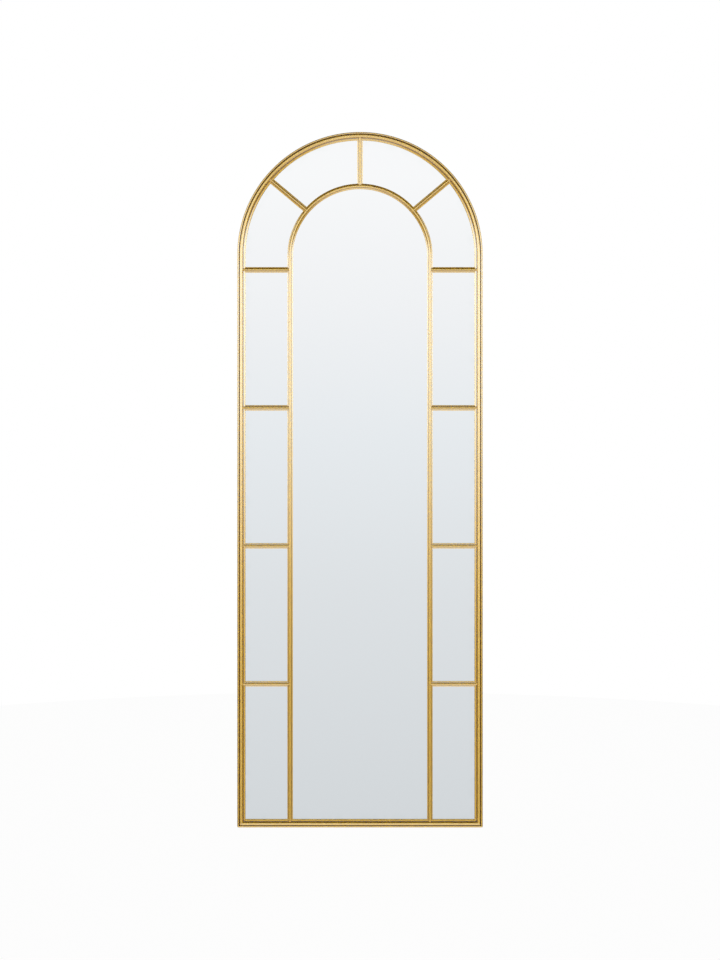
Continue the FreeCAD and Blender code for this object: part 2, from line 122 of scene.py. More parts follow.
# Ranges of a noise, each with the range that it is mapped onto
GROOVE_PATCHES = (0.20, 0.60, 0.75, 1.00)
CREST_PATCHES = (0.35, 0.65, 0.30, 1.00)
RUBBED_PATCHES = (0.30, 0.70, 0.00, 0.35)
ROUGHNESS_CHANGE = (0.30, 0.70, -0.03, 0.05)
FLAKE_CHANGE = (0.20, 0.80, 0.94, 1.00)
FLECK_EDGE = (0.42, 0.68, 0.00, 1.00)
FLECK_PATCHES = (0.30, 0.70, 0.55, 1.00)
SPOT_EDGE = (0.35, 0.75, 0.00, 1.00)

# What a groove adds to the roughness and takes off the lacquer, and the sprayed skin of the metal
GROOVE_ROUGHNESS = 0.25
GROOVE_LACQUER_LOSS = 0.10
SKIN_DEPTH = 0.00002
SKIN_STRENGTH = 0.15

# Fibres and flecks: their stretch, detail and fall of detail, and what they add to the roughness and relief
FIBRE_STRETCH = (1.0, 1.0, 0.35)
FIBRE_DETAIL = 6
FIBRE_FALL = 0.7
FLECK_ROUGHNESS = 0.12
FLECK_STRENGTH = 0.5

# Scale of the flecks, roughness between them and depth of the bump
BOARD_TEXTURE = (420, 0.72, 0.0001)
TAPE_TEXTURE = (1500, 0.85, 0.00005)
FOAM_TEXTURE = (1500, 0.80, 0.00005)

# Tones that polished pieces see, as (z of the direction, linear colour) from below to above
FRONT_TONES = (
    (-0.90, (0.750, 0.750, 0.750)),
    (-0.62, (1.200, 1.330, 1.330)),
    (-0.45, (1.430, 1.580, 1.580)),
    (-0.36, (1.100, 1.200, 1.200)),
    (-0.27, (0.665, 0.692, 0.712)),
    (-0.24, (0.678, 0.705, 0.725)),
    (-0.08, (0.755, 0.780, 0.800)),
    (0.03, (0.825, 0.853, 0.877)),
    (0.13, (0.910, 0.917, 0.930)),
    (0.22, (0.975, 0.975, 0.980)),
    (0.26, (0.975, 0.975, 0.980)),
    (0.30, (0.300, 0.260, 0.220)),
)
SIDE_TONES = (
    (-0.98, (0.80, 0.80, 0.80)),
    (-0.60, (1.00, 1.00, 1.00)),
    (-0.40, (0.80, 0.80, 0.80)),
    (-0.25, (0.35, 0.32, 0.30)),
    (-0.14, (0.43, 0.40, 0.37)),
    (-0.08, (0.74, 0.70, 0.66)),
    (-0.03, (1.30, 1.30, 1.28)),
    (0.02, (1.75, 1.95, 2.05)),
    (0.07, (2.30, 2.65, 2.85)),
    (0.14, (2.60, 3.00, 3.30)),
    (0.23, (1.60, 1.80, 1.95)),
    (0.36, (0.75, 0.80, 0.85)),
)
FAR_TONES = (
    (-0.40, (0.06, 0.03, 0.01)),
    (-0.06, (0.09, 0.05, 0.02)),
    (0.02, (0.55, 0.55, 0.55)),
    (0.12, (1.20, 1.20, 1.20)),
    (0.25, (0.80, 0.80, 0.80)),
    (0.40, (0.30, 0.30, 0.30)),
    (0.60, (0.03, 0.015, 0.006)),
)
BACK_TONE = (0.80, 0.79, 0.77)
CEILING_TONE = (0.06, 0.045, 0.03)
FRONT_BOX_TONE = (1.30, 1.45, 1.48)

# Tones that light matt pieces, from ahead and behind and from all round
AHEAD_TONE = (1.40, 1.40, 1.40)
ROOM_TONE = (0.30, 0.30, 0.30)

# Tone of the backdrop and the floor
WHITE = (1.0, 1.0, 1.0)

# Ranges of a direction over which a part of the studio grows from none to full: widths of |x|,
# depths of |y|, turns of -y and rises of z
FRONT_WIDTH = (0.22, 0.12)
FAR_TURN = (0.55, 0.30)
FAR_RISE = (-0.80, -0.50)
BACK_TURN = (-0.70, -0.90)
FRONT_BOX_TURN = (0.50, 0.70)
FRONT_BOX_RISE = (0.345, 0.375)
CEILING_RISE = (0.46, 0.62)
MATT_AHEAD_DEPTH = (0.20, 0.70)
MATT_CEILING_RISE = (0.30, 0.60)


def length(name, description, default):
    """Return a property that holds a length in metres."""
    return bpy.props.FloatProperty(name=name, description=description, default=default,
                                   precision=5, subtype="DISTANCE", unit="LENGTH")


def colour(name, description, default):
    """Return a property that holds a linear colour."""
    return bpy.props.FloatVectorProperty(name=name, description=description, default=default,
                                         size=3, min=0, max=1, subtype="COLOR")


def share(name, description, default):
    """Return a property that holds a share from 0 to 1."""
    return bpy.props.FloatProperty(name=name, description=description, default=default,
                                   min=0, max=1, subtype="FACTOR")


class MirrorMouldings(bpy.types.PropertyGroup):
    """Sections of the mouldings and bars, and sizes and places of the welds, tabs and screws."""
    rim_bead: length("Rim bead", "Radius of the bead along the outer rim", 0.0025)
    frame_bead: length("Frame bead", "Radius of the frame's main bead", 0.0046)
    frame_base: length("Frame base", "Back of the moulding to the foot of its beads", 0.0032)
    frame_face: length("Frame face", "Width of the frame moulding", 0.0198)
    frame_edge: length("Frame edge", "Thickness of the frame's inner edge", 0.0015)
    frame_ease: length("Frame ease", "Round on the frame's inner edge", 0.0014)
    frame_wall: length("Side wall", "Thickness of the frame's side wall", 0.0018)
    corner_radius: length("Corner radius", "Round on the two bottom corners", 0.0040)
    arch_bar_width: length("Arch bar width", "Width of the inner arch bar", 0.0134)
    arch_bar_edge: length("Arch bar edge", "Edge thickness of the inner arch bar", 0.0012)
    arch_bar_base: length("Arch bar base", "Back of the bar to the foot of its bead", 0.0026)
    arch_bar_bead: length("Arch bar bead", "Bead radius of the inner arch bar", 0.0031)
    short_bar_width: length("Short bar width", "Width of the crossbars and fan bars", 0.0134)
    short_bar_edge: length("Short bar edge", "Edge thickness of the short bars", 0.0010)
    short_bar_base: length("Short bar base", "Back of the bar to the foot of its bead", 0.0021)
    short_bar_bead: length("Short bar bead", "Bead radius of the short bars", 0.0026)
    bar_ease: length("Bar ease", "Round on a bar's edges", 0.0009)
    softness: length("Softness", "Reach of the paint that softens edges and grooves", 0.00022)
    crest_reach: length("Crest reach", "Reach over which rubbed crests are told apart", 0.0012)
    # Patina and painted shade spread this far out of a groove
    patina_and_shade_reach: length("Patina and shade reach", "Reach over which patina spreads out of a groove", 0.0009)
    weld: length("Weld", "Radius of the weld at a bar's end", 0.0007)
    tab_weld: length("Tab weld", "Radius of the weld at a tab or bracket", 0.0011)
    tab_width: length("Tab width", "Retaining tab along the wall", 0.0160)
    tab_top_drop: length("First tab", "Arch centre down to the first side tab", 0.2000)
    tab_bottom_rise: length("Last tab", "Bottom edge up to the last side tab", 0.1500)
    tab_bottom_offset: length("Bottom tab", "Middle to a tab on the bottom rail", 0.1500)
    screw_inset: length("Screw inset", "Side wall to the axis of a tab screw", 0.0130)
    screw_head: length("Screw head", "Radius of a tab screw's head", 0.0036)
    screw_height: length("Screw head height", "Height of a tab screw's head", 0.0022)
    screw_rim: length("Screw rim", "Straight part of a tab screw's head", 0.0012)
    screw_shank: length("Screw shank", "Radius of a tab screw's shank", 0.0015)
    screw_grip: length("Screw grip", "Depth of a tab screw in the board", 0.0030)
    recess_half: length("Recess half width", "Half width of a slot of the cross recess", 0.00058)
    recess_reach: length("Recess reach", "Middle of the cross recess to a slot's end", 0.0022)
    recess_depth: length("Recess depth", "Depth of the cross recess", 0.0011)
    tab_arch_angle: bpy.props.FloatProperty(
        name="Arch tab spacing", description="Spacing of the tabs around the arch",
        default=np.radians(60), subtype="ANGLE", unit="ROTATION")
    side_tabs: bpy.props.IntProperty(
        name="Side tabs", description="Retaining tabs on each side", default=4, min=2)


class MirrorFinishes(bpy.types.PropertyGroup):
    """Colours, gloss and wear of the finishes."""
    gold: colour("Gold", "Metallic gold paint", (0.775, 0.442, 0.018))
    # Rubbed wear and painted highlight: the crests turn this paler gold
    gold_rubbed_and_highlit: colour("Rubbed and highlit gold", "Gold where the crests are rubbed bright", (0.850, 0.510, 0.032))
    # Painted shade: the gold darkens to this amber towards the grooves
    gold_amber_shade: colour("Shaded amber gold", "Gold that deepens towards the grooves", (0.50, 0.230, 0.008))
    gold_flake: share("Gold flake", "Share of the gold paint that is metal flake", 0.88)
    # Patina and painted shade: this dark brown also stands in for the shade in the grooves
    patina_and_shade: colour("Patina and shade", "Brown that settles in the grooves", (0.075, 0.020, 0.002))
    gold_roughness: share("Gold roughness", "Roughness of the gold paint", 0.42)
    lacquer_roughness: share("Lacquer roughness", "Roughness of the clear lacquer", 0.05)
    lacquer_index: bpy.props.FloatProperty(
        name="Lacquer index", description="Refractive index of the pearly lacquer", default=2.6, min=1)
    silver: colour("Silver", "Mirror coating", (0.955, 0.965, 0.970))
    silver_edge: colour("Silver edge", "Mirror coating along the edges", (0.88, 0.91, 0.90))
    silver_wear: share("Silver wear", "Dulling of the mirror coating beside the frame", 0.6)
    silver_roughness: share("Silver roughness", "Roughness of the clear mirror", 0.006)
    wear_roughness: share("Wear roughness", "Roughness that full dulling would add", 0.05)
    board: colour("Board", "Raw fibreboard", (0.36, 0.235, 0.13))
    board_fibre: colour("Board fibre", "Darker fibres in the board", (0.19, 0.115, 0.06))
    zinc: colour("Zinc", "Bright zinc plate", (0.70, 0.71, 0.72))
    zinc_stain: colour("Zinc stain", "Dull patches on the zinc", (0.48, 0.47, 0.44))
    zinc_roughness: share("Zinc roughness", "Roughness of the zinc plate", 0.30)
    tape: colour("Tape", "Black foam tape", (0.030, 0.030, 0.032))
    tape_fleck: colour("Tape fleck", "Grey flecks in the black foam", (0.11, 0.11, 0.11))
    foam: colour("Foam", "White foam tape", (0.80, 0.80, 0.77))
    foam_fleck: colour("Foam fleck", "Darker flecks in the white foam", (0.62, 0.62, 0.59))


class MirrorStudio(bpy.types.PropertyGroup):
    """Camera, floor and light."""
    camera_distance: length("Camera distance", "Camera to the front of the frame", 3.30)
    picture_height: length("Picture height", "Height that the picture covers at the frame", 2.3490)
    picture_drop: length("Picture drop", "Middle of the mirror down to the middle of the picture", 0.0006)
    floor_drop: length("Floor drop", "Bottom edge of the mirror to the floor", 0.30)
    floor_radius: length("Floor radius", "Radius of the round floor", 4.0)
    floor_roughness: share("Floor roughness", "Roughness of the floor", 0.9)
    floor_glow: share("Floor glow", "Share of the floor's colour that shadows don't reach", 0.97)
    lamp_height: length("Lamp height", "Top of the mirror to the lamp", 1.6)
    lamp_size: length("Lamp size", "Width of the square lamp", 3.0)
    lamp_power: bpy.props.FloatProperty(
        name="Lamp power", description="Power of the overhead lamp", default=10,
        subtype="POWER", unit="POWER")


def settings(context):
    """Return the three groups of settings."""
    scene = context.scene
    return scene.mirror_mouldings, scene.mirror_finishes, scene.mirror_studio


def arc(centre, radius, start, end):
    """Return points on an arc: centre + radius * (cos a, sin a) for even steps of a."""
    angle = np.linspace(start, end, ARC_STEPS)
    return np.stack([centre[0] + radius * np.cos(angle), centre[1] + radius * np.sin(angle)], axis=1)


def fillet(before, corner, after, radius):
    """Round a corner: points on the circle of that radius that touches both of its sides.

    With unit vectors a and b from the corner along its sides and half the angle h between them,
    the centre lies radius / sin h along a + b, and the arc turns from the foot on a to that on b.
    """
    corner = np.array(corner)
    sides = [np.subtract(point, corner) for point in (before, after)]
    a, b = (side / np.linalg.norm(side) for side in sides)
    half = np.arccos(a @ b) / 2
    middle = (a + b) / np.linalg.norm(a + b)
    centre = corner + middle * radius / np.sin(half)
    touch = radius / np.tan(half)
    spokes = [corner + side * touch - centre for side in (a, b)]
    t = np.linspace(0, 1, FILLET_STEPS)[:, None]
    chord = spokes[0] * (1 - t) + spokes[1] * t
    return centre + radius * chord / np.linalg.norm(chord, axis=1, keepdims=True)


def frame_bead_middle(sizes):
    """Return the middle of the frame's main bead, which lies against the rim bead."""
    return 2 * sizes.rim_bead + sizes.frame_bead, SEAT + sizes.frame_base


def frame_face_line(sizes):
    """Return the face from the inner edge up to the main bead's crest, as (inset, height) points."""
    bead = arc(frame_bead_middle(sizes), sizes.frame_bead, 0, np.pi / 2)
    back = (sizes.frame_face, SEAT)
    corner = (sizes.frame_face, SEAT + sizes.frame_edge)
    return np.vstack([[back], fillet(back, corner, bead[0], sizes.frame_ease), bead])


def frame_loop(sizes):
    """Return the frame's closed section as (inset from the outer edge, height off the wall)."""
    middle = frame_bead_middle(sizes)
    return np.vstack([
        [(0, 0)],
        arc((sizes.rim_bead, middle[1]), sizes.rim_bead, np.pi, 0),
        arc(middle, sizes.frame_bead, np.pi, np.pi / 2),
        frame_face_line(sizes)[-2::-1],
        [(sizes.frame_wall, SEAT), (sizes.frame_wall, 0)],
    ])


def bar_face_line(width, edge, base, bead, ease):
    """Return half of a bar's face, from its edge up to the crest, as (half width, height) points."""
    crown = arc((0, SEAT + base), bead, 0, np.pi / 2)
    back = (width / 2, SEAT)
    corner = (width / 2, SEAT + edge)
    return np.vstack([[back], fillet(back, corner, crown[0], ease), crown])


def bar_loop(face):
    """Return a bar's closed section: its face line, and the same line mirrored."""
    return np.vstack([face * (-1, 1), face[-2::-1]])


def blurred(columns, around, reach):
    """Return columns of values at even steps around a closed loop, blurred by a Gaussian of that reach.

    A wave of k radians per metre along the loop is multiplied by exp(-(k * reach)^2 / 2).
    """
    count = len(columns)
    wave = np.fft.fftfreq(count, around / count) * 2 * np.pi
    fade = np.exp(-((wave * reach) ** 2) / 2)[:, None]
    return np.fft.ifft(np.fft.fft(columns, axis=0) * fade, axis=0).real


def points_along(path, shares):
    """Return the points of a path of straight steps at the given shares of its length."""
    travelled = np.append(0, np.cumsum(np.linalg.norm(np.diff(path, axis=0), axis=1)))
    return np.stack([np.interp(shares * travelled[-1], travelled, values) for values in path.T], axis=1)


def even_loop(corners, count):
    """Return a closed outline as count points, evenly spaced along it."""
    return points_along(np.vstack([corners, corners[:1]]), np.linspace(0, 1, count, endpoint=False))


def shelter(loop, along, outward):
    """Return the share of each point's outlook that the loop itself blocks, from 0 to 1.

    With unit vectors t along and n out of the loop, another point at d blocks atan2(d . n, |d . t|)
    where d . n > 0. The largest such angle ahead and the largest behind are added, over pi.
    """
    gap = loop[None] - loop[:, None]
    level = np.einsum("ijk,ik->ij", gap, along)
    rise = np.einsum("ijk,ik->ij", gap, outward)
    blocked = np.where(rise > 0, np.arctan2(rise, np.abs(level)), 0)
    sides = [np.where(side * level > 0, blocked, 0).max(axis=1) for side in (1, -1)]
    return sum(sides) / np.pi


def section(corners, count, sizes):
    """Return a softened section and its relief, which is above zero on crests and below in grooves.

    On crests it is how far the loop stands outside its own wider blur, over the blur's reach. In
    grooves it is the sheltered share, spread a little and below zero.
    """
    sharp = even_loop(corners, count)
    around = np.linalg.norm(sharp - np.roll(sharp, 1, axis=0), axis=1).sum()
    loop = blurred(sharp, around, sizes.softness)
    along = np.roll(loop, -1, axis=0) - np.roll(loop, 1, axis=0)
    along /= np.linalg.norm(along, axis=1, keepdims=True)
    outward = np.stack([-along[:, 1], along[:, 0]], axis=1)
    proud = ((loop - blurred(loop, around, sizes.crest_reach)) * outward).sum(axis=1) / sizes.crest_reach
    sheltered = blurred(shelter(loop, along, outward)[:, None], around, sizes.patina_and_shade_reach)[:, 0]
    return loop, np.maximum(proud, 0) - sheltered


def frame_inset(height, sizes):
    """Return the inset of the frame's face at each height, for the bars that are coped to it."""
    face = frame_face_line(sizes)
    return np.interp(height, face[:, 1], face[:, 0])


def arch_bar_face(sizes):
    """Return half of the inner arch bar's face."""
    return bar_face_line(sizes.arch_bar_width, sizes.arch_bar_edge, sizes.arch_bar_base,
                         sizes.arch_bar_bead, sizes.bar_ease)


def short_bar_face(sizes):
    """Return half of a crossbar's or fan bar's face."""
    return bar_face_line(sizes.short_bar_width, sizes.short_bar_edge, sizes.short_bar_base,
                         sizes.short_bar_bead, sizes.bar_ease)


def arch_bar_radius(sizes):
    """Return the radius of the inner arch bar's middle line."""
    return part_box("inner_arch_bar")[1].x - sizes.arch_bar_width / 2


def arch_bar_side(height, sizes):
    """Return the inner arch bar's outer radius at each height."""
    face = arch_bar_face(sizes)
    return arch_bar_radius(sizes) + np.interp(height, face[:, 1], face[:, 0])


def arch_grid(radius, height, foot, spring):
    """Carry a section up the left leg, round the arch and down the right leg.

    A point of the section keeps its radius and height. On a leg, x = -radius or +radius and z runs
    from its own foot to the springing line. On the arch, x = radius cos a and z = spring + radius sin a.
    """
    climb = np.concatenate([np.linspace(0, END_SHARE, END_STEPS, endpoint=False),
                            np.linspace(END_SHARE, 1, LEG_STEPS, endpoint=False)])[:, None]
    angle = np.linspace(np.pi, 0, ARCH_STEPS)[:, None]
    leg = foot + climb * (spring - foot)
    x = np.vstack([-radius + 0 * climb, radius * np.cos(angle), radius + 0 * climb])
    z = np.vstack([leg, spring + radius * np.sin(angle), leg[::-1]])
    return np.stack([x, np.broadcast_to(-height, x.shape), z], axis=2)


def straight_grid(start, end):
    """Rule straight lines between two rings of points: start + t (end - start)."""
    near = np.linspace(0, END_SHARE, END_STEPS, endpoint=False)
    middle = np.linspace(END_SHARE, 1 - END_SHARE, BAR_STEPS)
    t = np.concatenate([near, middle, 1 - near[::-1]])[:, None, None]
    return start + t * (end - start)


def rounded_corners(grid, radius):
    """Draw points outside the two bottom corners' rounds in to them, along the round's own radius."""
    x, z = np.abs(grid[..., 0]), grid[..., 2]
    centre_x, centre_z = HALF - radius, FLOOR + radius
    away = np.hypot(x - centre_x, z - centre_z)
    outside = (x > centre_x) & (z < centre_z) & (away > radius)
    pull = np.where(outside, radius / np.maximum(away, radius), 1)
    drawn_x = np.sign(grid[..., 0]) * (centre_x + (x - centre_x) * pull)
    moved = grid.copy()
    moved[..., 0] = np.where(outside, drawn_x, grid[..., 0])
    moved[..., 2] = np.where(outside, centre_z + (z - centre_z) * pull, z)
    return moved


def tube_faces(steps, around):
    """Return the quads of a grid that closes on itself around, and the triangles of its two end caps.

    The caps meet at two more points, which follow the grid's own.
    """
    row, column = np.meshgrid(np.arange(steps - 1), np.arange(around), indexing="ij")
    beside = (column + 1) % around
    quads = np.stack([row * around + column, row * around + beside,
                      (row + 1) * around + beside, (row + 1) * around + column], axis=2).reshape(-1, 4)
    here = np.arange(around)
    there = (here + 1) % around
    last = (steps - 1) * around
    hub = steps * around
    first_cap = np.stack([there, here, np.full(around, hub)], axis=1)
    last_cap = np.stack([last + here, last + there, np.full(around, hub + 1)], axis=1)
    return quads, np.vstack([first_cap, last_cap])


def enclosed(points, triangles):
    """Return the signed volume: a sixth of the sum of a . (b x c) over the triangles."""
    a, b, c = (points[triangles[:, corner]] for corner in range(3))
    return np.einsum("ij,ij->", a, np.cross(b, c)) / 6


def tube(grid):
    """Return the points, quads and end caps of a closed tube whose faces point outwards."""
    steps, around, _ = grid.shape
    quads, caps = tube_faces(steps, around)
    points = np.vstack([grid.reshape(-1, 3), grid[0].mean(axis=0), grid[-1].mean(axis=0)])
    triangles = np.vstack([quads[:, :3], quads[:, [0, 2, 3]], caps])
    if enclosed(points, triangles) < 0:
        quads, caps = quads[:, ::-1], caps[:, ::-1]
    return points, quads, caps


def add_piece(name, grids, material, nodes=(), relief=None):
    """Join closed tubes into one piece that rides on the part and stands for the given nodes.

    The tubes are smooth and their end caps flat. Each point keeps its relief for the finish.
    """
    points, faces, smooth, levels, offset = [], [], [], [], 0
    for grid in grids:
        tube_points, quads, caps = tube(grid)
        faces += (quads + offset).tolist() + (caps + offset).tolist()
        smooth += [True] * len(quads) + [False] * len(caps)
        level = np.zeros(grid.shape[1]) if relief is None else relief
        levels.append(np.concatenate([np.tile(level, grid.shape[0]), np.zeros(2)]))
        points.append(tube_points)
        offset += len(tube_points)
    mesh = bpy.data.meshes.new(name)
    mesh.from_pydata(np.vstack(points).tolist(), [], faces)
    mesh.polygons.foreach_set("use_smooth", smooth)
    attribute = mesh.attributes.new("relief", "FLOAT", "POINT")
    attribute.data.foreach_set("value", np.concatenate(levels).astype(np.float32))
    mesh.materials.append(material)
    mesh.update()
    piece = bpy.data.objects.new(name, mesh)
    bpy.context.scene.collection.objects.link(piece)
    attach(piece, "root")
    if nodes:
        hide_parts(*nodes)


def weld_grid(path, radius, seed):
    """Sweep a rippled round along a path, thinner towards both ends.

    Its radius at t is radius * max(sin(pi t), tip)^swell * (1 + ripple), where the ripple is a few
    seeded waves along t.
    """
    t = np.linspace(0, 1, WELD_STEPS)
    line = points_along(path, t)
    ahead = np.gradient(line, axis=0)
    ahead /= np.linalg.norm(ahead, axis=1, keepdims=True)
    across = np.cross(ahead, (0.0, 1.0, 0.0))
    along_depth = np.isclose(np.abs(ahead[:, 1:2]), 1)
    across = np.where(along_depth, (1.0, 0.0, 0.0), across)
    across /= np.linalg.norm(across, axis=1, keepdims=True)
    upright = np.cross(across, ahead)
    phases = np.random.default_rng(seed).uniform(0, 2 * np.pi, len(WELD_WAVES))
    ripple = sum(np.sin(2 * np.pi * wave * t + phase) for wave, phase in zip(WELD_WAVES, phases))
    swell = np.clip(np.sin(np.pi * t), WELD_TIP, 1) ** WELD_SWELL
    size = radius * swell * (1 + WELD_RIPPLE * ripple)
    turn = np.linspace(0, 2 * np.pi, WELD_SIDES, endpoint=False)[None, :, None]
    ring = np.cos(turn) * across[:, None] + np.sin(turn) * upright[:, None]
    return line[:, None] + size[:, None, None] * ring


def along_bar(distance, across, height, place):
    """Place points at a distance along a bar, across it and off the wall."""
    (ahead_x, ahead_z), (x, z) = place
    return np.stack([x + distance * ahead_x + across * ahead_z, -height,
                     z + distance * ahead_z - across * ahead_x], axis=1)


def crossbar_place(node):
    """Return a crossbar's direction and its level on the mirror's middle line."""
    low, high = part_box(node)
    return (np.sign(low.x + high.x), 0.0), (0.0, (low.z + high.z) / 2)


def crossbar_ends(across, height, place, sizes):
    """Return where a crossbar meets the straight legs: the arch bar's side and the frame's face.

    It is called as fan_bar_ends is. On straight legs only the height counts.
    """
    return arch_bar_side(height, sizes), HALF - frame_inset(height, sizes)


def fan_bar_place(node):
    """Return a fan bar's direction and the arch centre that it points away from."""
    low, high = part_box(node)
    ahead = np.array(((low.x + high.x) / 2, (low.z + high.z) / 2 - SPRING))
    return tuple(ahead / np.linalg.norm(ahead)), (0.0, SPRING)


def fan_bar_ends(across, height, place, sizes):
    """Return where a fan bar meets the two arches, along its own line from the outer arch's centre.

    The outer arch is met at sqrt(radius^2 - across^2). The inner arch's centre lies lower by d, so
    for the direction (u, v) it is met at sqrt(radius^2 - (across - d u)^2) - d v.
    """
    (ahead_x, ahead_z), _ = place
    drop = SPRING - BEND
    inner = arch_bar_side(height, sizes)
    outer = HALF - frame_inset(height, sizes)
    start = np.sqrt(inner ** 2 - (across - drop * ahead_x) ** 2) - drop * ahead_z
    return start, np.sqrt(outer ** 2 - across ** 2)


def short_bar_rings(line, sizes):
    """Yield each short bar's node and a (across, height) line drawn at its start and at its end."""
    across, height = line.T
    families = ((CROSSBARS, crossbar_place, crossbar_ends), (FAN_BARS, fan_bar_place, fan_bar_ends))
    for nodes, find_place, ends in families:
        for node in nodes:
            place = find_place(node)
            reaches = ends(across, height, place, sizes)
            yield node, [along_bar(reach, across, height, place) for reach in reaches]


def tab_roots(sizes, wall):
    """Return each retaining tab's root on the side wall and the angle of the wall's outward normal."""
    span = SPRING - FLOOR - sizes.tab_top_drop - sizes.tab_bottom_rise
    roots = []
    for row in range(sizes.side_tabs):
        level = SPRING - sizes.tab_top_drop - row * span / (sizes.side_tabs - 1)
        roots += [(wall, level, 0.0), (-wall, level, np.pi)]
    for step in (-1, 0, 1):
        turn = np.pi / 2 + step * sizes.tab_arch_angle
        roots.append((wall * np.cos(turn), SPRING + wall * np.sin(turn), turn))
    for side in (-1, 1):
        roots.append((side * sizes.tab_bottom_offset, FLOOR + sizes.frame_wall, -np.pi / 2))
    return roots


def screw_grid(x, z, sizes):
    """Turn a screw's outline about its axis, and press a cross into the head.

    The head's top is a shallow dome, rise * sqrt(1 - r^2). The cross lowers it by its depth times the
    larger of two slots. A slot is level over the inner half of its width and fades to its sides and end.
    """
    dome = np.linspace(1, 0, SCREW_DOME, endpoint=False)
    tip = BOARD_BACK + sizes.screw_grip
    shoulder = TAB_BACK - sizes.screw_rim
    rise = sizes.screw_height - sizes.screw_rim
    radius = np.concatenate([[sizes.screw_shank, sizes.screw_shank, sizes.screw_head],
                             dome * sizes.screw_head])
    height = np.concatenate([[tip, TAB_BACK, TAB_BACK], shoulder - rise * np.sqrt(1 - dome ** 2)])
    turn = np.linspace(0, 2 * np.pi, SCREW_TURN, endpoint=False)
    across = radius[:, None] * np.cos(turn)
    upright = radius[:, None] * np.sin(turn)
    half = sizes.recess_half
    arms = [np.clip(2 - 2 * np.abs(a) / half, 0, 1) * np.clip((sizes.recess_reach - np.abs(b)) / half, 0, 1)
            for a, b in ((across, upright), (upright, across))]
    on_top = (np.arange(len(radius)) >= len(radius) - len(dome))[:, None]
    depth = np.where(on_top, sizes.recess_depth * np.maximum(*arms), 0)
    return np.stack([x + across, -(height[:, None] + depth), z + upright], axis=2)


class Tree:
    """A shader node tree, with short calls for the nodes that the finishes share."""

    def __init__(self, tree):
        self.nodes, self.links = tree.nodes, tree.links

    def find(self, kind):
        """Return the first node of a type."""
        return next(node for node in self.nodes if node.type == kind)

    def feed(self, socket, value):
        """Link another socket, or set a number or a colour."""
        if isinstance(value, bpy.types.NodeSocket):
            self.links.new(value, socket)
        elif socket.type == "RGBA":
            socket.default_value = (*value, 1)
        else:
            socket.default_value = value

    def feed_all(self, node, inputs):
        """Feed a node's inputs, given by name."""
        for name, value in inputs.items():
            self.feed(node.inputs[name], value)

    def add(self, kind, inputs):
        """Add a node and feed its inputs."""
        node = self.nodes.new(kind)
        self.feed_all(node, inputs)
        return node

    def effect(self, group, inputs):
        """Add a node group, feed its inputs and return its outputs."""
        node = self.nodes.new("ShaderNodeGroup")
        node.node_tree = group
        self.feed_all(node, inputs)
        return node.outputs

    def noise(self, vector, scale, detail, roughness=0.5):
        """Return the value of a noise texture."""
        inputs = {"Vector": vector, "Scale": scale, "Detail": detail, "Roughness": roughness}
        return self.add("ShaderNodeTexNoise", inputs).outputs[0]

    def ranged(self, value, low, high, to_low=0.0, to_high=1.0):
        """Return a smooth map of one range onto another."""
        inputs = {"Value": value, "From Min": low, "From Max": high, "To Min": to_low, "To Max": to_high}
        node = self.add("ShaderNodeMapRange", inputs)
        node.interpolation_type = "SMOOTHSTEP"
        return node.outputs["Result"]

    def maths(self, operation, *values):
        """Return the value of a math node on sockets or numbers."""
        node = self.nodes.new("ShaderNodeMath")
        node.operation = operation
        for socket, value in zip(node.inputs, values):
            self.feed(socket, value)
        return node.outputs["Value"]

    def product(self, first, *others):
        """Return the product of several values."""
        for other in others:
            first = self.maths("MULTIPLY", first, other)
        return first

    def mixed(self, factor, first, second):
        """Return a mix of two colours."""
        node = self.nodes.new("ShaderNodeMix")
        node.data_type = "RGBA"
        self.feed(node.inputs["Factor"], factor)
        for socket, value in zip((item for item in node.inputs if item.type == "RGBA"), (first, second)):
            self.feed(socket, value)
        return next(socket for socket in node.outputs if socket.type == "RGBA")

    def ramp(self, height, tones):
        """Return a colour that runs through (z, colour) tones, for heights from -1 to 1."""
        node = self.nodes.new("ShaderNodeValToRGB")
        elements = node.color_ramp.elements
        while len(elements) < len(tones):
            elements.new(1)
        for element, (z, tone) in zip(elements, tones):
            element.position = (z + 1) / 2
            element.color = (*tone, 1)
        self.feed(node.inputs["Fac"], self.maths("MULTIPLY_ADD", height, 0.5, 0.5))
        return node.outputs["Color"]


def node_group(name, inputs, outputs):
    """Return a new shader node group, what it is given and its results, with sockets listed by kind."""
    group = bpy.data.node_groups.new(name, "ShaderNodeTree")
    for direction, kinds in (("INPUT", inputs), ("OUTPUT", outputs)):
        for kind, sockets in kinds.items():
            for socket in sockets:
                group.interface.new_socket(socket, in_out=direction, socket_type=kind)
    return group, group.nodes.new("NodeGroupInput").outputs, group.nodes.new("NodeGroupOutput").inputs


